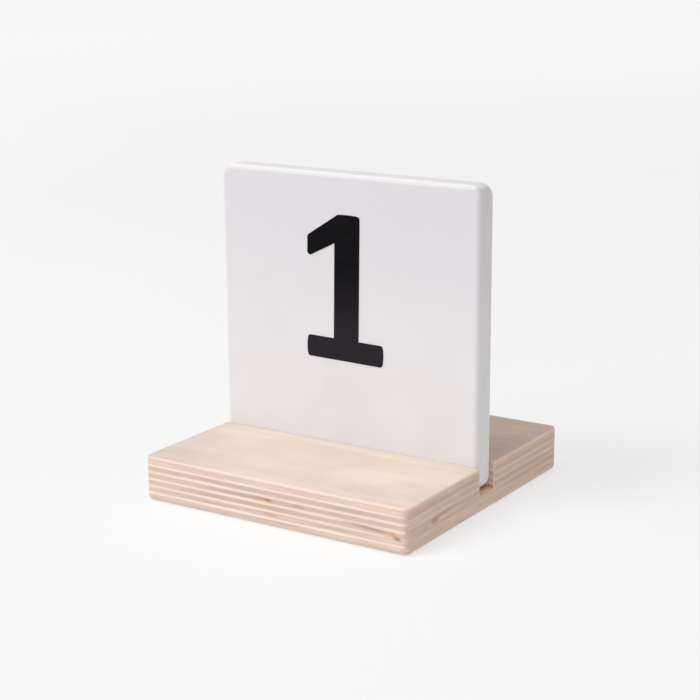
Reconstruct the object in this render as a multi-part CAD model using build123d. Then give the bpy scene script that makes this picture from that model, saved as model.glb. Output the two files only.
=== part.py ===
from build123d import *
import os

# Table number holder: a square block of thirteen-ply birch plywood with a groove along its middle,
# open at both ends. A white lacquered board with a black numeral on its front stands in the groove.
#
# Frame: X runs along the board, from its left end to its right end as a reader faces it, the reader
# is on the -Y side, and +Z is up. The origin is the centre of the block's underside. Millimetres.

# --- Block: birch plywood, cut square, sanded round its edges --------------------------------------
PLY_COUNT = 13
PLY_THICKNESS = 1.4
BLOCK_SIDE = 120.0
BLOCK_HEIGHT = PLY_COUNT * PLY_THICKNESS
UPRIGHT_EDGE_RADIUS = 3.0
UNDERSIDE_EDGE_RADIUS = 2.2
TOP_EDGE_RADIUS = 0.8

# --- Groove: one pass of a cutter, along X ---------------------------------------------------------
GROOVE_WIDTH = 11.3
GROOVE_DEPTH = 10.7
GROOVE_CENTRE_Y = -0.7
GROOVE_EDGE_RADIUS = 0.3

# --- Board: stands on the groove's floor -----------------------------------------------------------
BOARD_WIDTH = 118.0
BOARD_HEIGHT = 119.0
BOARD_THICKNESS = 11.0
BOARD_OFFSET_X = -0.4
BOARD_CORNER_RADIUS = 5.2
BOARD_EDGE_RADIUS = 2.0

# --- Numeral: cut vinyl on the board's front -------------------------------------------------------
# Its x values are from the board's middle, its drops are from its top, and its tilt is clockwise,
# in degrees, about the middle of its height: it was stuck on very slightly askew.
VINYL_THICKNESS = 0.15
NUMERAL_HEIGHT = 58.4
NUMERAL_TOP_GAP = 15.8
NUMERAL_TILT = 0.9
STEM_LEFT = -5.4
STEM_RIGHT = 6.05
FLAG_LEFT = -18.05
FLAG_RIGHT = -4.0
FLAG_TOP_DROP = 9.6
FLAG_BOTTOM_DROP = 18.2
FLAG_INNER_DROP = 11.6
FOOT_LEFT = -17.9
FOOT_RIGHT = 17.5
FOOT_HEIGHT = 8.65
FOOT_END_BULGE = 0.45
TOP_BULGE = 0.25
NUMERAL_CORNER_RADIUS = 1.3

# --- Worked out ------------------------------------------------------------------------------------
GROOVE_FLOOR_Z = BLOCK_HEIGHT - GROOVE_DEPTH
BOARD_FRONT_Y = GROOVE_CENTRE_Y - BOARD_THICKNESS / 2
BOARD_TOP_Z = GROOVE_FLOOR_Z + BOARD_HEIGHT


def make_block():
    """The whole grooved block, before it is divided into its veneers."""
    block = Pos(0, 0, BLOCK_HEIGHT / 2) * Box(BLOCK_SIDE, BLOCK_SIDE, BLOCK_HEIGHT)
    block = fillet(block.edges().filter_by(Axis.Z), UPRIGHT_EDGE_RADIUS)
    block = fillet(block.faces().sort_by(Axis.Z)[0].edges(), UNDERSIDE_EDGE_RADIUS)
    block = fillet(block.faces().sort_by(Axis.Z)[-1].edges(), TOP_EDGE_RADIUS)
    cutter_height = 2 * GROOVE_DEPTH
    cutter = Box(2 * BLOCK_SIDE, GROOVE_WIDTH, cutter_height)
    block -= Pos(0, GROOVE_CENTRE_Y, GROOVE_FLOOR_Z + cutter_height / 2) * cutter
    groove_edges = [
        edge
        for edge in block.edges().filter_by(Axis.X)
        if abs(edge.center().Z - BLOCK_HEIGHT) < 0.01
        and abs(abs(edge.center().Y - GROOVE_CENTRE_Y) - GROOVE_WIDTH / 2) < 0.01
    ]
    return fillet(groove_edges, GROOVE_EDGE_RADIUS)


def make_slab(number, y_low, y_high):
    """The space of one veneer, counted from the top, between two planes across Y."""
    z_high = BLOCK_HEIGHT - (number - 1) * PLY_THICKNESS
    middle = Pos(0, (y_low + y_high) / 2, z_high - PLY_THICKNESS / 2)
    return middle * Box(2 * BLOCK_SIDE, y_high - y_low, PLY_THICKNESS)


def make_veneers():
    """Node name to solid. The groove parts the veneers above its floor into a front and a rear strip."""
    block = make_block()
    veneers = {}
    for number in range(1, PLY_COUNT + 1):
        underside_z = BLOCK_HEIGHT - number * PLY_THICKNESS
        if underside_z >= GROOVE_FLOOR_Z:
            front = make_slab(number, -BLOCK_SIDE, GROOVE_CENTRE_Y)
            rear = make_slab(number, GROOVE_CENTRE_Y, BLOCK_SIDE)
            veneers[f"ply_{number:02d}_front"] = block & front
            veneers[f"ply_{number:02d}_rear"] = block & rear
        else:
            veneers[f"ply_{number:02d}"] = block & make_slab(number, -BLOCK_SIDE, BLOCK_SIDE)
    return veneers


def make_board():
    """The upright board, with its corners and then both of its outlines rounded."""
    board = Box(BOARD_WIDTH, BOARD_THICKNESS, BOARD_HEIGHT)
    board = fillet(board.edges().filter_by(Axis.Y), BOARD_CORNER_RADIUS)
    board = fillet(board.faces().sort_by(Axis.Y)[0].edges(), BOARD_EDGE_RADIUS)
    board = fillet(board.faces().sort_by(Axis.Y)[-1].edges(), BOARD_EDGE_RADIUS)
    return Pos(BOARD_OFFSET_X, GROOVE_CENTRE_Y, BOARD_TOP_Z - BOARD_HEIGHT / 2) * board


def make_numeral():
    """A slab-footed 1 with softened corners, stuck flat on the board's front."""
    top = NUMERAL_HEIGHT / 2
    foot_bottom = -NUMERAL_HEIGHT / 2
    foot_top = foot_bottom + FOOT_HEIGHT
    foot_middle = (foot_top + foot_bottom) / 2
    foot_corner_left = FOOT_LEFT + FOOT_END_BULGE
    foot_corner_right = FOOT_RIGHT - FOOT_END_BULGE
    shoulder = (FLAG_RIGHT, top - TOP_BULGE)
    top_right = (STEM_RIGHT, top - TOP_BULGE)
    armpit = (STEM_LEFT, top - FLAG_INNER_DROP)
    inner_corners = [(STEM_RIGHT, foot_top), (STEM_LEFT, foot_top), armpit]
    outline = [
        ThreePointArc(shoulder, ((FLAG_RIGHT + STEM_RIGHT) / 2, top), top_right),
        Polyline(top_right, (STEM_RIGHT, foot_top), (foot_corner_right, foot_top)),
        ThreePointArc(
            (foot_corner_right, foot_top),
            (FOOT_RIGHT, foot_middle),
            (foot_corner_right, foot_bottom),
        ),
        Line((foot_corner_right, foot_bottom), (foot_corner_left, foot_bottom)),
        ThreePointArc(
            (foot_corner_left, foot_bottom),
            (FOOT_LEFT, foot_middle),
            (foot_corner_left, foot_top),
        ),
        Polyline(
            (foot_corner_left, foot_top),
            (STEM_LEFT, foot_top),
            armpit,
            (FLAG_LEFT, top - FLAG_BOTTOM_DROP),
            (FLAG_LEFT, top - FLAG_TOP_DROP),
            shoulder,
        ),
    ]
    shape = make_face(Curve() + outline)
    outer_corners = [
        vertex
        for vertex in shape.vertices()
        if all(abs(vertex.center() - Vector(*corner)) > 0.01 for corner in inner_corners)
    ]
    shape = fillet(outer_corners, NUMERAL_CORNER_RADIUS)
    vinyl = extrude(Rot(0, 0, -NUMERAL_TILT) * shape, VINYL_THICKNESS)
    middle_z = BOARD_TOP_Z - NUMERAL_TOP_GAP - NUMERAL_HEIGHT / 2
    return Pos(BOARD_OFFSET_X, BOARD_FRONT_Y, middle_z) * Rot(90, 0, 0) * vinyl


def main():
    os.makedirs("parts", exist_ok=True)
    nodes = make_veneers()
    nodes["number_board"] = make_board()
    nodes["numeral"] = make_numeral()
    for name, shape in nodes.items():
        export_step(shape, f"parts/{name}.step")
        box = shape.bounding_box()
        print(name, len(shape.solids()), [round(v, 2) for v in (*box.min, *box.max)])


main()
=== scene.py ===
"""Table number holder: a grooved block of birch plywood, a white lacquered board and a vinyl numeral.

Geometry is worked out in millimetres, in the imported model's frame, and written in metres.
"""

import math

import bmesh
import bpy
from mathutils import Matrix, Vector, noise
from mathutils.geometry import delaunay_2d_cdt


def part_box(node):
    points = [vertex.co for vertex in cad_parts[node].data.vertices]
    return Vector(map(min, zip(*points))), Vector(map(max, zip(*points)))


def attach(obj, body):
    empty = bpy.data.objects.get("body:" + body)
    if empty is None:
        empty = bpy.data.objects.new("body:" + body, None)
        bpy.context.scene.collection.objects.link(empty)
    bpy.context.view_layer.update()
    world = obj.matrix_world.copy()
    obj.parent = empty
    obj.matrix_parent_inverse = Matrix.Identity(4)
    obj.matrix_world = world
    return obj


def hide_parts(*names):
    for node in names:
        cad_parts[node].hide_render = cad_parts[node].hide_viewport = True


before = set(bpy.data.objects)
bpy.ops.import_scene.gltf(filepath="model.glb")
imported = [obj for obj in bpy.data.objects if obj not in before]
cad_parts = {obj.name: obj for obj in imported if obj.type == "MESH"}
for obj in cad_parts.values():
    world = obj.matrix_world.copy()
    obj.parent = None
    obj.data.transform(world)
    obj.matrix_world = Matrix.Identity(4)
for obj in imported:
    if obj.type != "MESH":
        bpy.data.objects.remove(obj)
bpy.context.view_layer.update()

METRES = 0.001


def box_mm(node):
    """A CAD node's lowest and highest corners, in millimetres."""
    low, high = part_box(node)
    return low / METRES, high / METRES


# --- Sizes, read from the frame ------------------------------------------------------------------
PLY_COUNT = 13
FIRST_WHOLE_PLY = 8
BLOCK_LOW, BLOCK_HIGH = box_mm("ply_08")
TOP = box_mm("ply_01_front")[1].z
PLY = TOP / PLY_COUNT
GROOVE_FRONT = box_mm("ply_02_front")[1].y
GROOVE_REAR = box_mm("ply_02_rear")[0].y
GROOVE_CENTRE = (GROOVE_FRONT + GROOVE_REAR) / 2
GROOVE_HALF = (GROOVE_REAR - GROOVE_FRONT) / 2
BOARD_LOW, BOARD_HIGH = box_mm("number_board")
GROOVE_FLOOR = BOARD_LOW.z

# --- Roundings. All but the groove's two are as the CAD model has them ---------------------------
UPRIGHT_RADIUS = 3.0
UNDERSIDE_RADIUS = 2.2
TOP_RADIUS = 0.8
GROOVE_EDGE_RADIUS = 0.12
MOUTH_RADIUS = 0.4
SMALLEST_RADIUS = 0.1
BOARD_CORNER_RADIUS = 5.2
BOARD_EDGE_RADIUS = 2.0

# --- Mesh fineness -------------------------------------------------------------------------------
OUTLINE_STEP = 0.9
CORNER_STEPS = 8
EDGE_STEPS = 7
CAP_STEP = 5.0
CAP_RIM = 0.4
SHARP_ANGLE = 32
CUTTER_MARGIN = 2.0

# A veneer's loops lie at these shares of its thickness, and at its roundings' own steps.
PLY_LEVELS = (0.0, 0.12, 0.3, 0.5, 0.7, 0.88, 1.0)
LEVEL_GAP = 0.03

# --- Unevenness: heights, and the lengths over which they change ---------------------------------
SEAM_WAVE, SEAM_WAVE_LENGTH = 0.11, 24.0
SEAM_RIPPLE, SEAM_RIPPLE_LENGTH = 0.05, 6.0
END_GRAIN_HOLLOW = 0.02
SANDING_RELIEF = 0.02
SPECKLES_PER_MM, SPECKLES_PER_MM_UP = 0.9, 1.6
LACQUER_WAVE, LACQUER_WAVE_LENGTH = 0.03, 35.0

# Strides through the noise, which keep the glue lines, veneers and faces unlike each other.
WAVE_STRIDE = 7.3
RIPPLE_START, RIPPLE_STRIDE = 40, 3.7
SANDING_STRIDE = 11
LACQUER_STRIDE = 9.1
VENEER_STRIDE = 31.7

# An edge is sanded uneven where its rounding draws it in by less than this.
SANDED_INSET = 0.2

# The glue lines rise together near the right side, most of all halfway from the front to the groove.
SEAM_BOW = 0.28
BOW_START_X, BOW_RUN = 10.0, 45.0
BOW_CENTRE_Y, BOW_SPREAD = -28.0, 30.0


# ===== Geometry ==================================================================================
def rounding(distance, radius):
    """How far a rounded edge is drawn in, at a distance from the face that it leads to."""
    if distance >= radius:
        return 0.0
    return radius - math.sqrt(max(radius**2 - (radius - distance) ** 2, 0.0))


def quarter_turn(steps):
    """Even angles from 0 to 90 degrees, in radians."""
    return [math.radians(90 * step / steps) for step in range(steps + 1)]


def outline(low, high, radii, insets):
    """Points (u, v) anticlockwise round a rectangle with rounded corners, from its lowest corner.

    insets draws in the sides at low v, high u, high v and low u; the number of points stays the same.
    """
    u0, v0 = low[0] + insets[3], low[1] + insets[0]
    u1, v1 = high[0] - insets[1], high[1] - insets[2]
    corners = ((u0, v0, 1, 1), (u1, v0, -1, 1), (u1, v1, -1, -1), (u0, v1, 1, -1))
    sides = (high[0] - low[0], high[1] - low[1])
    points = []
    for index, (u, v, inward_u, inward_v) in enumerate(corners):
        drawn_in = min(insets[index - 1], insets[index])
        radius = max(radii[index] - drawn_in, SMALLEST_RADIUS)
        centre = (u + inward_u * radius, v + inward_v * radius)
        for step in range(CORNER_STEPS + 1):
            angle = math.radians(180 + 90 * index + 90 * step / CORNER_STEPS)
            points.append((centre[0] + radius * math.cos(angle), centre[1] + radius * math.sin(angle)))
        ahead = (index + 1) % 4
        next_u, next_v, next_in_u, next_in_v = corners[ahead]
        next_radius = max(radii[ahead] - min(insets[index], insets[ahead]), SMALLEST_RADIUS)
        start = points[-1]
        if index % 2 == 0:
            end = (next_u + next_in_u * next_radius, next_v)
        else:
            end = (next_u, next_v + next_in_v * next_radius)
        count = round(sides[index % 2] / OUTLINE_STEP)
        for step in range(1, count):
            share = step / count
            points.append(tuple(a + (b - a) * share for a, b in zip(start, end)))
    return points


def inner_points(flat, spacing):
    """An even grid of points inside a nearly rectangular loop."""
    low = [min(point[axis] for point in flat) + spacing / 2 for axis in (0, 1)]
    high = [max(point[axis] for point in flat) - spacing / 2 for axis in (0, 1)]
    counts = [max(1, round((high[axis] - low[axis]) / spacing)) for axis in (0, 1)]
    return [
        tuple(low[axis] + (high[axis] - low[axis]) * place[axis] / counts[axis] for axis in (0, 1))
        for place in ((i, j) for i in range(counts[0] + 1) for j in range(counts[1] + 1))
    ]


def loft(loops, flatten, caps):
    """Vertices and faces of a closed solid: loops joined by quads, and both ends filled with triangles.

    flatten gives a point's two coordinates across the ends, and caps holds, for the first loop and for
    the last, what turns them back into a point.
    """
    count = len(loops[0])
    vertices = [Vector(point) for loop in loops for point in loop]
    faces = []
    for ring in range(len(loops) - 1):
        low = ring * count
        high = low + count
        for i in range(count):
            j = (i + 1) % count
            faces.append((low + i, low + j, high + j, high + i))
    border = [(i, (i + 1) % count) for i in range(count)]
    for start, cap in ((0, caps[0]), (len(vertices) - count, caps[1])):
        flat = [flatten(vertices[start + i]) for i in range(count)]
        inner = inner_points(flat, CAP_STEP)
        numbers = list(range(start, start + count))
        numbers += list(range(len(vertices), len(vertices) + len(inner)))
        vertices += [cap(*point) for point in inner]
        filled = delaunay_2d_cdt([Vector(point) for point in flat + inner], border, [], 1, 1e-5)
        origins = filled[3]
        faces += [tuple(numbers[origins[corner][0]] for corner in face) for face in filled[2]]
    return vertices, faces


def add_object(name, data):
    made = bpy.data.objects.new(name, data)
    bpy.context.scene.collection.objects.link(made)
    return made


def closed_mesh(name, vertices, faces):
    """A mesh in metres, from a closed solid in millimetres, with all its faces facing outwards."""
    mesh = bpy.data.meshes.new(name)
    mesh.from_pydata([point * METRES for point in vertices], [], faces)
    work = bmesh.new()
    work.from_mesh(mesh)
    bmesh.ops.recalc_face_normals(work, faces=work.faces)
    work.to_mesh(mesh)
    work.free()
    return mesh


def make_piece(name, vertices, faces, material, body, node):
    """A closed piece that rides on a body and stands for a CAD node."""
    mesh = closed_mesh(name, vertices, faces)
    mesh.shade_smooth()
    mesh.set_sharp_from_angle(angle=math.radians(SHARP_ANGLE))
    mesh.materials.append(material)
    piece = add_object(name, mesh)
    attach(piece, body)
    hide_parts(node)
    return piece


# ----- Veneers -----------------------------------------------------------------------------------
def seam_shift(seam, x, y):
    """How far a glue line strays from its even height. The two outer faces are flat."""
    if seam in (0, PLY_COUNT):
        return 0.0
    slow = noise.noise(Vector((x / SEAM_WAVE_LENGTH, y / SEAM_WAVE_LENGTH, WAVE_STRIDE * seam)))
    ripple_level = RIPPLE_STRIDE * seam + RIPPLE_START
    quick = noise.noise(Vector((x / SEAM_RIPPLE_LENGTH, y / SEAM_RIPPLE_LENGTH, ripple_level)))
    to_right = min(max((x - BOW_START_X) / BOW_RUN, 0.0), 1.0)
    bow = to_right * math.exp(-(((y - BOW_CENTRE_Y) / BOW_SPREAD) ** 2))
    return SEAM_WAVE * slow + SEAM_RIPPLE * quick + SEAM_BOW * bow


def even_height(seam):
    return TOP - seam * PLY


def seam_point(seam):
    """What turns x and y into a point on a glue line or an outer face."""
    return lambda x, y: Vector((x, y, even_height(seam) + seam_shift(seam, x, y)))


def ply_heights(number):
    """Even heights of a veneer's loops, low to high, closer together where the block's edge is round."""
    low, high = even_height(number), even_height(number - 1)
    heights = {round(low + (high - low) * share, 4) for share in PLY_LEVELS}
    for angle in quarter_turn(EDGE_STEPS):
        for height in (
            TOP - TOP_RADIUS * (1 - math.cos(angle)),
            TOP - GROOVE_EDGE_RADIUS * (1 - math.cos(angle)),
            UNDERSIDE_RADIUS * (1 - math.cos(angle)),
        ):
            if low < height < high and min(abs(height - other) for other in heights) > LEVEL_GAP:
                heights.add(round(height, 4))
    return sorted(heights)


def sanded(point, along_grain, outward, number):
    """An edge point after sanding: end grain a little lower than long grain, and neither quite even."""
    end_grain = abs(outward.dot(along_grain)) ** 2
    across = (point.x * SPECKLES_PER_MM, point.y * SPECKLES_PER_MM)
    speckle = noise.noise(Vector((*across, point.z * SPECKLES_PER_MM_UP + SANDING_STRIDE * number)))
    depth = END_GRAIN_HOLLOW * end_grain + SANDING_RELIEF * 0.5 * (1 + speckle)
    return point - outward * depth


def ply_loops(number, low, high, radii, at_groove):
    """A veneer's loops, low to high. at_groove marks which of its four sides face the groove."""
    along_grain = Vector((1, 0, 0)) if number % 2 else Vector((0, 1, 0))
    z_low, z_high = even_height(number), even_height(number - 1)
    rings = []
    for height in ply_heights(number):
        outer = rounding(TOP - height, TOP_RADIUS) + rounding(height, UNDERSIDE_RADIUS)
        groove = rounding(TOP - height, GROOVE_EDGE_RADIUS)
        rings.append((height, [groove if side else outer for side in at_groove]))
    if number == 1:
        rings.append((TOP, [inset + CAP_RIM for inset in rings[-1][1]]))
    if number == PLY_COUNT:
        rings.insert(0, (0.0, [inset + CAP_RIM for inset in rings[0][1]]))
    loops = []
    for height, insets in rings:
        share = (height - z_low) / (z_high - z_low)
        flat = outline(low, high, radii, insets)
        is_upright = max(insets) < SANDED_INSET
        loop = []
        for i, (x, y) in enumerate(flat):
            shift = (1 - share) * seam_shift(number, x, y) + share * seam_shift(number - 1, x, y)
            point = Vector((x, y, height + shift))
            if is_upright:
                before, after = flat[i - 1], flat[(i + 1) % len(flat)]
                outward = Vector((after[1] - before[1], before[0] - after[0], 0)).normalized()
                point = sanded(point, along_grain, outward, number)
            loop.append(point)
        loops.append(loop)
    return loops


def ply_solid(number, low, high, radii, at_groove):
    loops = ply_loops(number, low, high, radii, at_groove)
    caps = (seam_point(number), seam_point(number - 1))
    return loft(loops, lambda point: (point.x, point.y), caps)


def mark_glue_distance(piece, number):
    """Stores each vertex's distance to the nearer glue line, in millimetres, for the veneer's colour."""
    distances = []
    for vertex in piece.data.vertices:
        x, y, z = vertex.co / METRES
        gaps = [
            abs(z - even_height(seam) - seam_shift(seam, x, y))
            for seam in (number - 1, number)
            if 0 < seam < PLY_COUNT
        ]
        distances.append(min(gaps))
    attribute = piece.data.attributes.new("glue_distance", "FLOAT", "POINT")
    attribute.data.foreach_set("value", distances)


def channel_cutter():
    """A solid of the groove's shape, down to its floor, with mouths that flare a little."""
    flare_start = BLOCK_HIGH.x - MOUTH_RADIUS
    half_plan = [
        (flare_start + MOUTH_RADIUS * math.sin(angle), MOUTH_RADIUS * (1 - math.cos(angle)))
        for angle in quarter_turn(CORNER_STEPS)
    ]
    half_plan.append((BLOCK_HIGH.x + CUTTER_MARGIN, MOUTH_RADIUS))
    plan = [(-x, GROOVE_REAR + wide) for x, wide in reversed(half_plan)]
    plan += [(x, GROOVE_REAR + wide) for x, wide in half_plan]
    plan += [(x, GROOVE_FRONT - wide) for x, wide in reversed(half_plan)]
    plan += [(-x, GROOVE_FRONT - wide) for x, wide in half_plan]
    count = len(plan)
    vertices = [Vector((x, y, z)) for z in (GROOVE_FLOOR, TOP + CUTTER_MARGIN) for x, y in plan]
    faces = [(i, (i + 1) % count, count + (i + 1) % count, count + i) for i in range(count)]
    faces += [tuple(reversed(range(count))), tuple(range(count, 2 * count))]
    return add_object("channel_cutter", closed_mesh("channel_cutter", vertices, faces))


def cut_channel(piece):
    """Cuts the groove's floor into a veneer, and keeps the result as its mesh."""
    cutter = channel_cutter()
    cut = piece.modifiers.new("channel", "BOOLEAN")
    cut.operation = "DIFFERENCE"
    cut.solver = "EXACT"
    cut.object = cutter
    bpy.context.view_layer.update()
    evaluated = piece.evaluated_get(bpy.context.evaluated_depsgraph_get())
    shaped = bpy.data.meshes.new_from_object(evaluated)
    piece.modifiers.clear()
    piece.data = shaped
    bpy.data.objects.remove(cutter)


def make_veneers(materials):
    """All veneers. The groove parts those above its floor into front and rear strips."""
    outer = (UPRIGHT_RADIUS,) * 4
    front_radii = (UPRIGHT_RADIUS, UPRIGHT_RADIUS, MOUTH_RADIUS, MOUTH_RADIUS)
    rear_radii = (MOUTH_RADIUS, MOUTH_RADIUS, UPRIGHT_RADIUS, UPRIGHT_RADIUS)
    x0, y0, x1, y1 = BLOCK_LOW.x, BLOCK_LOW.y, BLOCK_HIGH.x, BLOCK_HIGH.y
    strips = (
        ("_front", (x0, y0), (x1, GROOVE_FRONT), front_radii, (False, False, True, False)),
        ("_rear", (x0, GROOVE_REAR), (x1, y1), rear_radii, (True, False, False, False)),
    )
    whole = (("", (x0, y0), (x1, y1), outer, (False,) * 4),)
    for number in range(1, PLY_COUNT + 1):
        for end, low, high, radii, at_groove in strips if number < FIRST_WHOLE_PLY else whole:
            vertices, faces = ply_solid(number, low, high, radii, at_groove)
            name, node = f"veneer_{number:02d}{end}", f"ply_{number:02d}{end}"
            piece = make_piece(name, vertices, faces, materials[number], "base", node)
            if number == FIRST_WHOLE_PLY:
                cut_channel(piece)
            mark_glue_distance(piece, number)


# ----- Board -------------------------------------------------------------------------------------
def board_face(y, outward):
    """What turns x and z into a point on a broad face of the board, as even as lacquer leaves it."""

    def place(x, z):
        side = outward * LACQUER_STRIDE
        wave = noise.noise(Vector((x / LACQUER_WAVE_LENGTH, side, z / LACQUER_WAVE_LENGTH)))
        return Vector((x, y - outward * LACQUER_WAVE * 0.5 * (1 + wave), z))

    return place


def make_board(material):
    """The board, lofted from its front face to its back one, with both outlines rounded."""
    low, high = (BOARD_LOW.x, BOARD_LOW.z), (BOARD_HIGH.x, BOARD_HIGH.z)
    radii = (BOARD_CORNER_RADIUS,) * 4
    front, back = BOARD_LOW.y, BOARD_HIGH.y
    rings = [(front, BOARD_EDGE_RADIUS + CAP_RIM)]
    for angle in quarter_turn(EDGE_STEPS):
        depth = BOARD_EDGE_RADIUS * (1 - math.cos(angle))
        rings.append((front + depth, rounding(depth, BOARD_EDGE_RADIUS)))
    rings.append(((front + back) / 2, 0.0))
    rings += [(front + back - y, inset) for y, inset in reversed(rings[:-1])]
    loops = [
        [Vector((x, y, z)) for x, z in outline(low, high, radii, (inset,) * 4)]
        for y, inset in rings
    ]
    caps = (board_face(front, -1), board_face(back, 1))
    vertices, faces = loft(loops, lambda point: (point.x, point.z), caps)
    make_piece("lacquered_board", vertices, faces, material, "board", "number_board")


# ===== Materials =================================================================================
def srgb(red, green, blue):
    """A colour given as a screen shows it, 0 to 255, as the shader's linear value."""

    def linear(value):
        value /= 255
        return value / 12.92 if value <= 0.04045 else ((value + 0.055) / 1.055) ** 2.4

    return (linear(red), linear(green), linear(blue), 1.0)


class Shader:
    """One material's nodes, with a short call for each kind that is used."""

    def __init__(self, name):
        self.material = bpy.data.materials.new(name)
        self.material.use_nodes = True
        self.tree = self.material.node_tree
        self.tree.nodes.clear()
        self.surface = self.node("ShaderNodeBsdfPrincipled")
        output = self.node("ShaderNodeOutputMaterial")
        self.tree.links.new(self.surface.outputs["BSDF"], output.inputs["Surface"])
        place = self.node("ShaderNodeTexCoord")
        self.position = self.vector("SCALE", place.outputs["Object"], scale=1 / METRES)
        self.coordinate = self.parts(self.position)
        self.normal = place.outputs["Normal"]
        self.upward = self.parts(self.normal)["Z"]

    def node(self, kind, **settings):
        made = self.tree.nodes.new(kind)
        for key, value in settings.items():
            setattr(made, key, value)
        return made

    def put(self, socket, value):
        """Links a socket to another, or sets its plain value."""
        if isinstance(value, bpy.types.NodeSocket):
            self.tree.links.new(value, socket)
        else:
            socket.default_value = value

    def set(self, **values):
        for name, value in values.items():
            self.put(self.surface.inputs[name.replace("_", " ")], value)

    def math(self, operation, *values, clamp=False):
        made = self.node("ShaderNodeMath", operation=operation, use_clamp=clamp)
        for socket, value in zip(made.inputs, values):
            self.put(socket, value)
        return made.outputs[0]

    def vector(self, operation, *values, scale=None):
        made = self.node("ShaderNodeVectorMath", operation=operation)
        for socket, value in zip(made.inputs, values):
            self.put(socket, value)
        if scale is not None:
            made.inputs["Scale"].default_value = scale
        return made.outputs["Value" if operation == "LENGTH" else "Vector"]

    def parts(self, vector):
        made = self.node("ShaderNodeSeparateXYZ")
        self.put(made.inputs[0], vector)
        return made.outputs

    def placed(self, size, centre=(0, 0, 0), turn=(0, 0, 0)):
        """The position in a frame of a size and centre, in millimetres, turned by degrees."""
        made = self.node("ShaderNodeMapping", vector_type="TEXTURE")
        self.put(made.inputs["Vector"], self.position)
        made.inputs["Location"].default_value = centre
        made.inputs["Rotation"].default_value = [math.radians(angle) for angle in turn]
        made.inputs["Scale"].default_value = size
        return made.outputs["Vector"]

    def noise(self, vector, detail=3.0, roughness=0.5, distortion=0.0):
        made = self.node("ShaderNodeTexNoise")
        self.put(made.inputs["Vector"], vector)
        made.inputs["Scale"].default_value = 1.0
        made.inputs["Detail"].default_value = detail
        made.inputs["Roughness"].default_value = roughness
        made.inputs["Distortion"].default_value = distortion
        return made.outputs["Fac"]

    def ramp(self, value, low, high, to_low=0.0, to_high=1.0):
        """A smooth step from to_low to to_high as value goes from low to high."""
        made = self.node("ShaderNodeMapRange", interpolation_type="SMOOTHSTEP")
        for socket, number in zip(made.inputs, (value, low, high, to_low, to_high)):
            self.put(socket, number)
        return made.outputs[0]

    def hairlines(self, vector, width, detail=2.0):
        """1 on thin lines that wander along a noise's long direction, and 0 between them."""
        from_middle = self.math("ABSOLUTE", self.math("SUBTRACT", self.noise(vector, detail), 0.5))
        return self.ramp(from_middle, 0.0, width, 1.0, 0.0)

    def blend(self, share, first, second, mode="MIX"):
        made = self.node("ShaderNodeMix", data_type="RGBA", blend_type=mode)
        colour_a, colour_b = [socket for socket in made.inputs if socket.type == "RGBA"]
        self.put(made.inputs[0], share)
        self.put(colour_a, first)
        self.put(colour_b, second)
        return next(socket for socket in made.outputs if socket.type == "RGBA")

    def bump(self, height, depth):
        """A bump whose height, from 0 to 1, stands for a depth in millimetres."""
        made = self.node("ShaderNodeBump")
        made.inputs["Distance"].default_value = depth * METRES
        self.put(made.inputs["Height"], height)
        return made.outputs["Normal"]


# ----- Birch -------------------------------------------------------------------------------------
# Pairs of a darker and a lighter tone. Odd veneers, whose grain runs along X, are the paler ones.
ODD_LONG_GRAIN = (srgb(231, 212, 200), srgb(247, 231, 221))
EVEN_LONG_GRAIN = (srgb(214, 189, 171), srgb(231, 208, 193))
END_GRAIN = (srgb(202, 178, 161), srgb(224, 202, 187))
OUTER_END_GRAIN = (srgb(222, 200, 185), srgb(236, 215, 201))
BROAD_FACE = (srgb(219, 204, 189), srgb(226, 212, 200))
ROUTED_FACE = (srgb(234, 194, 156), srgb(248, 214, 182))
VENEER_TINTS = (srgb(240, 235, 238), srgb(255, 250, 246))
# Painted shade: a pinker tint for the top behind the board, which lies in the board's shadow.
BOARD_SHADOW_TINT = srgb(255, 248, 249)

# Colours laid over the wood, each with the most that it covers.
PORE_COLOUR, PORE_SHARE = srgb(146, 116, 96), 0.45
CHECK_COLOUR, CHECK_SHARE = srgb(150, 120, 98), 0.35
WORN_COLOUR, WORN_SHARE, WORN_RIGHT_SHARE = srgb(230, 207, 192), 0.4, 0.35
WALL_COLOUR, WALL_SHARE = srgb(216, 186, 148), 0.65
# Painted light: the pale strip beside the groove stands in for light bounced off the white board.
MOUTH_BOUNCE_COLOUR, MOUTH_BOUNCE_SHARE = srgb(240, 216, 196), 0.7
ARRIS_COLOUR, ARRIS_SHARE = srgb(240, 215, 182), 0.4
# Darker, redder patches on the faces that look along X.
SIDE_PATCH_COLOUR, SIDE_PATCH_SHARE = srgb(206, 172, 152), 0.45
# Painted shade: a darker colour for the bottom veneer's downward-facing rounding, standing in for the
# contact shadow at the block's foot.
UNDERSIDE_SHADE_COLOUR, UNDERSIDE_SHADE_SHARE = srgb(158, 136, 120), 0.55
GLUE_COLOUR, GLUE_SHARE = srgb(160, 130, 108), 0.32
RIM_COLOUR, RIM_SHARE = END_GRAIN[0], 0.55
# Painted sheen: lighter silky streaks across the broad faces.
SHEEN_COLOUR, SHEEN_SHARE = srgb(231, 215, 203), 0.15
DASH_COLOUR, DASH_SHARE = srgb(194, 170, 150), 0.2
TINT_SHARE = 0.7

# Where tones come in, in millimetres: along X, behind the board, where a painted shadow tint lies, and
# just below the groove's floor.
RIGHT_RUN = (20, 58)
BOARD_SHADOW_RUN = (2, 8)
FLOOR_RUN = 1.6

# How far from a glue line the rims of the veneers and the glue itself show, in millimetres.
RIM_REACH = 0.4
GLUE_REACH, GLUE_FRAY = 0.04, 0.14

# Lathe checks: fine cracks in the end grain, long, thin and leaning by degrees.
CHECK_LENGTH, CHECK_WIDTH, CHECK_DEPTH = 3.0, 0.32, 2.0
CHECK_LEAN = 38
CHECK_LINE = 0.02

BIRCH_ROUGHNESS = (0.5, 0.66)
BIRCH_SPECULAR = 0.3
BIRCH_RELIEF = 0.03

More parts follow.
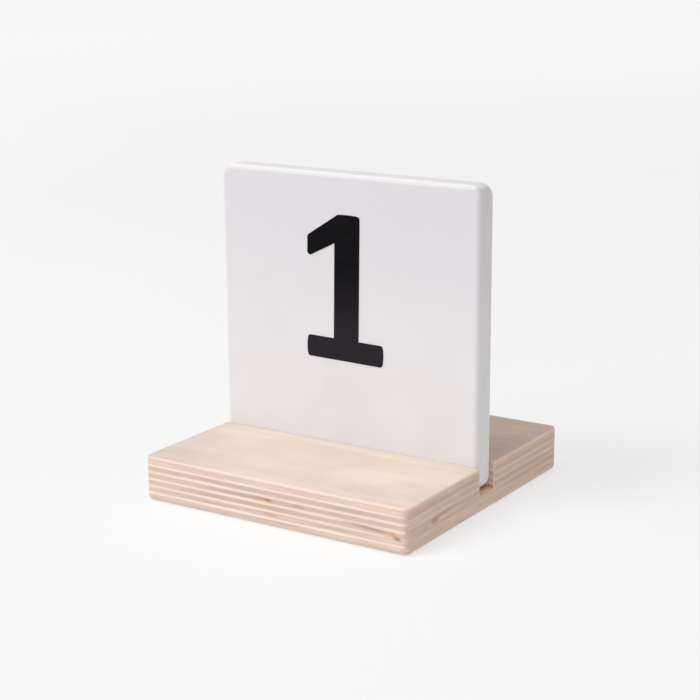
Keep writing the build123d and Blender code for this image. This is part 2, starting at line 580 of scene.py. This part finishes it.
# How much lighter than the others a veneer's long grain and its end grain are.
VENEER_TONES = {
    1: (-0.45, 0.0),
    2: (-0.25, 0.32),
    3: (0.0, -0.15),
    4: (0.0, -0.25),
    6: (0.0, -0.22),
    7: (0.0, -0.2),
    8: (-0.4, -0.12),
    9: (-0.1, -0.35),
    10: (-0.08, 0.0),
    12: (-0.2, 0.1),
}

# Knots and mineral streaks on the front and the right edge: centre and half sizes in mm, turn about Y
# in degrees, colour, strength.
FRONT, RIGHT = BLOCK_LOW.y, BLOCK_HIGH.x
MARKS = (
    ((-4.5, FRONT, 10.7), (4.5, 5, 0.75), 0, srgb(190, 135, 105), 0.6),
    ((-0.8, FRONT, 10.5), (2.2, 6, 0.80), 4, srgb(162, 98, 74), 0.8),
    ((5.0, FRONT, 10.4), (6.5, 6, 0.80), 2, srgb(216, 180, 150), 0.6),
    ((12.5, FRONT, 10.6), (3.0, 6, 0.65), 2, srgb(190, 148, 112), 0.65),
    ((-3.0, FRONT, 9.6), (9.0, 6, 0.80), 0, srgb(228, 192, 142), 0.5),
    ((0.0, FRONT, 4.9), (4.5, 6, 0.85), 2, srgb(202, 152, 124), 0.6),
    ((44.0, FRONT, 8.2), (13.0, 5, 0.85), 3, srgb(168, 132, 112), 0.75),
    ((55.0, FRONT, 6.9), (7.0, 5, 1.60), 0, srgb(214, 178, 152), 0.6),
    ((54.4, FRONT, 7.2), (2.6, 4, 1.10), 30, srgb(186, 144, 116), 0.65),
    ((55.9, FRONT, 6.3), (2.0, 4, 0.90), 10, srgb(144, 98, 78), 0.7),
    ((RIGHT, -40.2, 8.4), (5, 4.2, 1.50), 0, srgb(168, 118, 84), 0.7),
    ((RIGHT, -34.0, 9.5), (5, 9.0, 0.90), 0, srgb(186, 146, 112), 0.5),
)

# A mark is whole inside the first distance, in half sizes, and gone at the second.
MARK_CORE, MARK_REACH = 0.7, 1.6
MARK_RAGGEDNESS = 0.9


def add_marks(shader, colour, low, high):
    """Lays the knots and streaks that reach a veneer between two heights over its colour."""
    for centre, half_sizes, turn, mark_colour, strength in MARKS:
        reach = half_sizes[2] * MARK_REACH
        if centre[2] + reach < low or centre[2] - reach > high:
            continue
        distance = shader.vector("LENGTH", shader.placed(half_sizes, centre, (0, turn, 0)))
        ragged = shader.noise(shader.placed((0.7, 0.7, 0.3), centre), detail=4)
        edge = shader.math("MULTIPLY_ADD", ragged, MARK_RAGGEDNESS, distance)
        share = shader.ramp(edge, MARK_CORE, MARK_REACH, strength, 0.0)
        colour = shader.blend(share, colour, mark_colour)
    return colour


def add_wear(shader, colour, facing):
    """Worn, paler patches all round, and a paler front edge towards the right."""
    patches = shader.noise(shader.placed((38, 38, 7), (3, 3, 3)), detail=2)
    patch_share = shader.ramp(patches, 0.42, 0.66, 0.0, WORN_SHARE)
    right_share = shader.ramp(shader.coordinate["X"], *RIGHT_RUN, 0.0, WORN_RIGHT_SHARE)
    right_share = shader.math("MULTIPLY", right_share, facing["Y"])
    return shader.blend(shader.math("ADD", patch_share, right_share), colour, WORN_COLOUR)


def add_groove_tones(shader, colour):
    """Warmer walls in the groove, and a pale line of painted light down each side of its mouths, above
    its floor: light bounced off the white board, which also lifts the shade at the groove's edge.
    """
    from_middle = shader.math("SUBTRACT", shader.coordinate["Y"], GROOVE_CENTRE)
    from_middle = shader.math("ABSOLUTE", from_middle)
    above_floor = shader.ramp(shader.coordinate["Z"], GROOVE_FLOOR - FLOOR_RUN, GROOVE_FLOOR)
    wall = shader.ramp(from_middle, GROOVE_HALF - 0.1, GROOVE_HALF + 0.2, WALL_SHARE, 0.0)
    colour = shader.blend(shader.math("MULTIPLY", wall, above_floor), colour, WALL_COLOUR)
    # Painted light: a pale strip beside each groove edge stands in for light bounced off the board.
    bounce_starts = shader.ramp(from_middle, GROOVE_HALF + 0.05, GROOVE_HALF + 0.2)
    bounce_ends = shader.ramp(from_middle, GROOVE_HALF + 0.3, GROOVE_HALF + 0.8, MOUTH_BOUNCE_SHARE, 0.0)
    mouth_bounce = shader.math("MULTIPLY", bounce_starts, bounce_ends)
    return shader.blend(shader.math("MULTIPLY", mouth_bounce, above_floor), colour, MOUTH_BOUNCE_COLOUR)


def add_arris(shader, colour, facing):
    """A yellower rounding between the top and its sides, towards the right."""
    leaves_side = shader.ramp(facing["Z"], 0.15, 0.45)
    meets_top = shader.ramp(facing["Z"], 0.75, 0.98, ARRIS_SHARE, 0.0)
    share = shader.math("MULTIPLY", leaves_side, meets_top)
    share = shader.math("MULTIPLY", share, shader.ramp(shader.coordinate["X"], *RIGHT_RUN))
    return shader.blend(share, colour, ARRIS_COLOUR)


def add_glue_lines(shader, colour, frayed, side_share, edge_share):
    """Darker rims on the long grain beside the glue, and the thin frayed line of the glue itself."""
    distance = shader.node("ShaderNodeAttribute", attribute_name="glue_distance").outputs["Fac"]
    rim_share = shader.ramp(distance, 0.0, RIM_REACH, RIM_SHARE, 0.0)
    rim_share = shader.math("MULTIPLY", shader.math("MULTIPLY", rim_share, side_share), edge_share)
    colour = shader.blend(rim_share, colour, RIM_COLOUR)
    reach = shader.math("MULTIPLY_ADD", frayed, GLUE_FRAY, GLUE_REACH)
    glue_share = shader.ramp(distance, 0.0, reach, GLUE_SHARE, 0.0)
    return shader.blend(shader.math("MULTIPLY", glue_share, edge_share), colour, GLUE_COLOUR)


def face_colour(shader, seed):
    """The broad face of rotary-cut birch: soft flames along X, silky streaks of painted sheen, and short
    fine pores.
    """
    flames = shader.noise(shader.placed((70, 9, 9), (seed, 0, 0)), detail=3, distortion=0.7)
    sheen_streaks = shader.noise(shader.placed((16, 1.1, 4), (0, seed, 0)), detail=4)
    dashes = shader.noise(shader.placed((2.2, 0.14, 1), (0, seed, 0)), detail=1)
    colour = shader.blend(shader.ramp(flames, 0.35, 0.65), *BROAD_FACE)
    # Painted sheen: silky lighter streaks.
    colour = shader.blend(shader.ramp(sheen_streaks, 0.35, 0.7, 0.0, SHEEN_SHARE), colour, SHEEN_COLOUR)
    colour = shader.blend(shader.ramp(dashes, 0.62, 0.74, 0.0, DASH_SHARE), colour, DASH_COLOUR)
    # Painted shade: the top behind the board is tinted pinker, as the board's shadow colours it.
    board_shadow_share = shader.ramp(shader.coordinate["Y"], *BOARD_SHADOW_RUN)
    return shader.blend(board_shadow_share, colour, BOARD_SHADOW_TINT, "MULTIPLY")


def birch(number):
    """A veneer's material: long grain, end grain, broad face, glue lines, knots and streaks."""
    along_x = number % 2 == 1
    seed = VENEER_STRIDE * number
    shader = Shader(f"birch_veneer_{number:02d}")

    def grain(length, across, height):
        """The position in a frame of sizes along the grain, across it and through the veneer."""
        size = (length, across, height) if along_x else (across, length, height)
        return shader.placed(size, (seed, -0.7 * seed, 0))

    facing = shader.parts(shader.vector("ABSOLUTE", shader.normal))
    end_share = shader.ramp(facing["X" if along_x else "Y"], 0.35, 0.75)
    side_share = shader.math("SUBTRACT", 1.0, end_share)
    face_share = shader.ramp(facing["Z"], 0.55, 0.9)
    edge_share = shader.math("SUBTRACT", 1.0, face_share)

    fibres = shader.noise(grain(14.0, 0.6, 0.16), detail=4, roughness=0.6)
    fine_fibres = shader.noise(grain(3.0, 0.14, 0.06), detail=3)
    rings = shader.noise(grain(60.0, 22.0, 0.3), detail=2)
    pores = shader.placed((0.13, 0.13, 0.11), (seed, seed, 0))
    pores = shader.noise(pores, detail=2, roughness=0.7)
    lean = CHECK_LEAN if number % 4 < 2 else -CHECK_LEAN
    if along_x:
        size, turn = (CHECK_LENGTH, CHECK_WIDTH, CHECK_DEPTH), (lean, 0, 0)
    else:
        size, turn = (CHECK_WIDTH, CHECK_LENGTH, CHECK_DEPTH), (0, lean, 0)
    checks = shader.hairlines(shader.placed(size, (seed, seed, 0), turn), CHECK_LINE)

    long_tone, end_tone = VENEER_TONES.get(number, (0.0, 0.0))
    long_light = shader.ramp(fibres, 0.3 - long_tone, 0.7 - long_tone)
    long_colour = shader.blend(long_light, *(ODD_LONG_GRAIN if along_x else EVEN_LONG_GRAIN))
    end_light = shader.ramp(rings, 0.35 - end_tone, 0.65 - end_tone)
    end_colour = shader.blend(end_light, *(OUTER_END_GRAIN if number == 1 else END_GRAIN))
    pore_share = shader.ramp(pores, 0.55, 0.75, 0.0, PORE_SHARE)
    end_colour = shader.blend(pore_share, end_colour, PORE_COLOUR)
    end_colour = shader.blend(shader.math("MULTIPLY", checks, CHECK_SHARE), end_colour, CHECK_COLOUR)
    colour = shader.blend(end_share, long_colour, end_colour)
    colour = add_wear(shader, colour, facing)
    colour = add_groove_tones(shader, colour)
    if number in (1, PLY_COUNT):
        colour = shader.blend(face_share, colour, face_colour(shader, seed))
    elif number == FIRST_WHOLE_PLY:
        routed = shader.blend(shader.ramp(fine_fibres, 0.3, 0.7), *ROUTED_FACE)
        colour = shader.blend(face_share, colour, routed)
    if number == 1:
        colour = add_arris(shader, colour, facing)

    drift = shader.noise(shader.placed((26, 26, 9), (seed, seed, seed)), detail=2)
    tint = shader.blend(shader.ramp(drift, 0.3, 0.7), *VENEER_TINTS)
    colour = shader.blend(TINT_SHARE, colour, tint, "MULTIPLY")
    # Darker, redder patches, only on faces that look along X.
    side_patches = shader.noise(shader.placed((12, 8, 0.9), (seed, 5, 0)), detail=3)
    side_patch_share = shader.ramp(side_patches, 0.46, 0.68, 0.0, SIDE_PATCH_SHARE)
    colour = shader.blend(shader.math("MULTIPLY", facing["X"], side_patch_share), colour, SIDE_PATCH_COLOUR)
    colour = add_marks(shader, colour, even_height(number), even_height(number - 1))
    # Painted shade: the bottom veneer's underside rounding is darkened where the contact shadow falls.
    if number == PLY_COUNT:
        underside = shader.ramp(shader.upward, -0.3, -0.9, 0.0, UNDERSIDE_SHADE_SHARE)
        colour = shader.blend(underside, colour, UNDERSIDE_SHADE_COLOUR)

    frayed = shader.noise(grain(3.0, 0.4, 0.4), detail=3)
    colour = add_glue_lines(shader, colour, frayed, side_share, edge_share)

    smooth_side = shader.math("MULTIPLY", fibres, 0.4)
    smooth_side = shader.math("MULTIPLY_ADD", fine_fibres, 0.6, smooth_side)
    rough_end = shader.math("MULTIPLY_ADD", pores, 0.8, shader.math("MULTIPLY", checks, -0.6))
    relief = shader.math("MULTIPLY", smooth_side, side_share)
    relief = shader.math("MULTIPLY_ADD", rough_end, end_share, relief)
    shader.set(
        Base_Color=colour,
        Roughness=shader.ramp(fine_fibres, 0.2, 0.8, *BIRCH_ROUGHNESS),
        Specular_IOR_Level=BIRCH_SPECULAR,
        Normal=shader.bump(relief, BIRCH_RELIEF),
    )
    return shader.material


# ----- Lacquer and vinyl -------------------------------------------------------------------------
LACQUER = (srgb(218, 215, 217), srgb(223, 220, 222))
# Painted shade: the lacquer's darker tone towards the board's top.
LACQUER_HEIGHT_SHADE = srgb(209, 205, 209)
# Painted light: a lighter lacquer for faces that look up.
LACQUER_UPWARD_LIGHT = srgb(228, 227, 228)
LACQUER_SPECK = srgb(186, 182, 178)
LACQUER_ROUGHNESS = (0.3, 0.42)
LACQUER_SPECULAR = 0.12
LACQUER_RELIEF = 0.012
VINYL = (srgb(6, 5, 8), srgb(11, 10, 13))
VINYL_SPECK = srgb(44, 41, 46)
# Painted reflection: a lighter grey towards the numeral's foot, where the film mirrors the wood below.
VINYL_REFLECTION_COLOUR = srgb(52, 47, 54)
VINYL_ROUGHNESS = (0.5, 0.62)
VINYL_SPECULAR = 0.06
VINYL_RELIEF = 0.02

# Heights between which painted shade darkens the lacquer towards the board's top, and the painted
# reflection on the vinyl fades away upwards.
LACQUER_SHADE_RUN = (BOARD_LOW.z + 15, BOARD_HIGH.z - 5)
REFLECTION_LOW, REFLECTION_HIGH = BOARD_LOW.z + 50, BOARD_LOW.z + 84


def lacquer():
    """Satin white lacquer: faint orange peel, a few specks, and patches that handling dulled, with
    painted shade darkening it towards its top and painted light on its upward faces.
    """
    shader = Shader("white_lacquer")
    peel = shader.noise(shader.placed((0.9, 0.9, 0.9)), detail=2)
    fine = shader.noise(shader.placed((0.22, 0.22, 0.22)), detail=2)
    cloud = shader.noise(shader.placed((30, 30, 30)), detail=3)
    specks = shader.noise(shader.placed((0.5, 0.5, 0.5), (9, 4, 2)), detail=1)
    rubbed = shader.noise(shader.placed((5, 5, 1.2), (3, 1, 8)), detail=4)
    colour = shader.blend(shader.ramp(cloud, 0.3, 0.7), *LACQUER)
    # Painted shade: darker towards the board's top.
    colour = shader.blend(shader.ramp(shader.coordinate["Z"], *LACQUER_SHADE_RUN), colour, LACQUER_HEIGHT_SHADE)
    # Painted light: lighter where the lacquer faces up.
    colour = shader.blend(shader.ramp(shader.upward, 0.6, 0.95), colour, LACQUER_UPWARD_LIGHT)
    colour = shader.blend(shader.ramp(specks, 0.74, 0.8, 0.0, 0.3), colour, LACQUER_SPECK)
    relief = shader.math("MULTIPLY_ADD", fine, 0.25, peel)
    shader.set(
        Base_Color=colour,
        Roughness=shader.ramp(rubbed, 0.25, 0.8, *LACQUER_ROUGHNESS),
        Specular_IOR_Level=LACQUER_SPECULAR,
        Normal=shader.bump(relief, LACQUER_RELIEF),
    )
    return shader.material


def vinyl():
    """Matt black film with a fine grain, lighter towards its foot with a painted reflection of the wood
    below.
    """
    shader = Shader("black_vinyl")
    grain = shader.noise(shader.placed((0.3, 0.3, 0.3)), detail=3)
    smears = shader.noise(shader.placed((7, 7, 2.5)), detail=3)
    specks = shader.noise(shader.placed((0.45, 0.45, 0.45), (5, 2, 7)), detail=2)
    colour = shader.blend(shader.ramp(smears, 0.3, 0.7), *VINYL)
    colour = shader.blend(shader.ramp(specks, 0.6, 0.75, 0.0, 0.5), colour, VINYL_SPECK)
    # Painted reflection: lighter towards the foot, where the film mirrors the bright wood below.
    reflection_share = shader.ramp(shader.coordinate["Z"], REFLECTION_HIGH, REFLECTION_LOW, 0.0, 0.5)
    colour = shader.blend(reflection_share, colour, VINYL_REFLECTION_COLOUR)
    shader.set(
        Base_Color=colour,
        Roughness=shader.ramp(smears, 0.3, 0.7, *VINYL_ROUGHNESS),
        Specular_IOR_Level=VINYL_SPECULAR,
        Normal=shader.bump(grain, VINYL_RELIEF),
    )
    return shader.material


# ----- Floor -------------------------------------------------------------------------------------
FLOOR_GREYS = ((0.26, 0.26, 0.26, 1.0), (0.28, 0.28, 0.28, 1.0))
FLOOR_GLOWS = (0.64, 0.83)
FLOOR_ROUGHNESS = 0.9
FLOOR_SPECULAR = 0.1

# Distances from the middle, in millimetres, between which the floor's glow grows.
GLOW_RUN = (300, 2600)


def floor_material():
    """A pale table that glows a little, as lit opal glass does, so that its shadows stay pale."""
    shader = Shader("pale_floor")
    cloud = shader.noise(shader.placed((400, 400, 400)), detail=2)
    shader.set(
        Base_Color=shader.blend(shader.ramp(cloud, 0.2, 0.8), *FLOOR_GREYS),
        Roughness=FLOOR_ROUGHNESS,
        Specular_IOR_Level=FLOOR_SPECULAR,
        Emission_Color=(1.0, 1.0, 1.0, 1.0),
        Emission_Strength=shader.ramp(
            shader.vector("LENGTH", shader.position), *GLOW_RUN, *FLOOR_GLOWS
        ),
    )
    return shader.material


# ===== Stage =====================================================================================
# Metres, degrees and watts. Azimuth 0 is in front of the object, and grows to the right.
FLOOR_RINGS = (0.3, 1.0, 2.0)
FLOOR_RADIUS = 4.0
FLOOR_RIM = 1.1
FLOOR_RIM_STEPS = 12
FLOOR_TURNS = 96

CAMERA_AZIMUTH = 32.82
CAMERA_ELEVATION = 14.50
CAMERA_ROLL = -0.36
CAMERA_DISTANCE = 0.68606
CAMERA_TARGET = Vector((-0.00265, 0.0, 0.05531))
CAMERA_LENS_MM = 88.847
CAMERA_SENSOR_MM = 36

# Square softboxes: azimuth, elevation, distance, side, power, colour.
WHITE = (1.0, 1.0, 1.0)
SOFTBOXES = {
    "key_light": (-36, 40, 2.6, 1.5, 49.0, WHITE),
    "top_light": (0, 84, 2.6, 2.0, 43.0, WHITE),
    "right_fill": (80, 15, 2.8, 1.8, 11.5, (1.0, 0.95, 0.92)),
    "front_fill": (30, 12, 2.8, 1.8, 5.0, WHITE),
}
LIGHT_TARGET = Vector((0, 0, 0.05))
WORLD_STRENGTH = 0.03


def make_floor(material):
    """A wide round floor whose rim curves up, so that every view ends in the same pale ground."""
    profile = [(radius, 0.0) for radius in FLOOR_RINGS]
    for angle in quarter_turn(FLOOR_RIM_STEPS):
        height = FLOOR_RIM * (1 - math.cos(angle))
        profile.append((FLOOR_RADIUS + FLOOR_RIM * math.sin(angle), height))
    vertices = [Vector((0, 0, 0))]
    for radius, height in profile:
        for turn in range(FLOOR_TURNS):
            angle = 2 * math.pi * turn / FLOOR_TURNS
            vertices.append(Vector((radius * math.cos(angle), radius * math.sin(angle), height)))
    steps = [(turn, (turn + 1) % FLOOR_TURNS) for turn in range(FLOOR_TURNS)]
    faces = [(0, 1 + turn, 1 + after) for turn, after in steps]
    for ring in range(len(profile) - 1):
        low = 1 + ring * FLOOR_TURNS
        high = low + FLOOR_TURNS
        faces += [(low + turn, high + turn, high + after, low + after) for turn, after in steps]
    mesh = bpy.data.meshes.new("floor")
    mesh.from_pydata(vertices, [], faces)
    mesh.shade_smooth()
    mesh.materials.append(material)
    add_object("floor", mesh)


def direction(azimuth, elevation):
    """The way from the object to a place around it."""
    turn, lift = math.radians(azimuth), math.radians(elevation)
    across = math.cos(lift)
    return Vector((math.sin(turn) * across, -math.cos(turn) * across, math.sin(lift)))


def add_softbox(name, azimuth, elevation, distance, side, watts, colour):
    """A square soft light that faces the object."""
    back = direction(azimuth, elevation)
    light = bpy.data.lights.new(name, "AREA")
    light.shape = "SQUARE"
    light.size = side
    light.energy = watts
    light.color = colour
    lamp = add_object(name, light)
    lamp.location = LIGHT_TARGET + back * distance
    lamp.rotation_euler = back.to_track_quat("Z", "Y").to_euler()


def make_camera():
    """The camera, looking at the front, the right side and the top from a little above."""
    back = direction(CAMERA_AZIMUTH, CAMERA_ELEVATION)
    turn, roll = math.radians(CAMERA_AZIMUTH), math.radians(CAMERA_ROLL)
    level = Vector((math.cos(turn), math.sin(turn), 0))
    upright = back.cross(level)
    right = level * math.cos(roll) + upright * math.sin(roll)
    up = upright * math.cos(roll) - level * math.sin(roll)
    data = bpy.data.cameras.new("camera")
    data.sensor_width = CAMERA_SENSOR_MM
    data.lens = CAMERA_LENS_MM
    data.clip_start = 0.01
    camera = add_object("camera", data)
    place = Matrix((right, up, back)).transposed().to_4x4()
    place.translation = CAMERA_TARGET + back * CAMERA_DISTANCE
    camera.matrix_world = place
    bpy.context.scene.camera = camera


def make_world():
    """A faint white surround, and colours shown as they are."""
    world = bpy.data.worlds.new("studio")
    world.use_nodes = True
    background = world.node_tree.nodes["Background"]
    background.inputs["Color"].default_value = (1.0, 1.0, 1.0, 1.0)
    background.inputs["Strength"].default_value = WORLD_STRENGTH
    bpy.context.scene.world = world
    bpy.context.scene.view_settings.view_transform = "Standard"


make_camera()
make_world()
make_floor(floor_material())
for light_name, settings in SOFTBOXES.items():
    add_softbox(light_name, *settings)

make_veneers({number: birch(number) for number in range(1, PLY_COUNT + 1)})
make_board(lacquer())
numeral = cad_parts["numeral"]
numeral.data.materials.clear()
numeral.data.materials.append(vinyl())
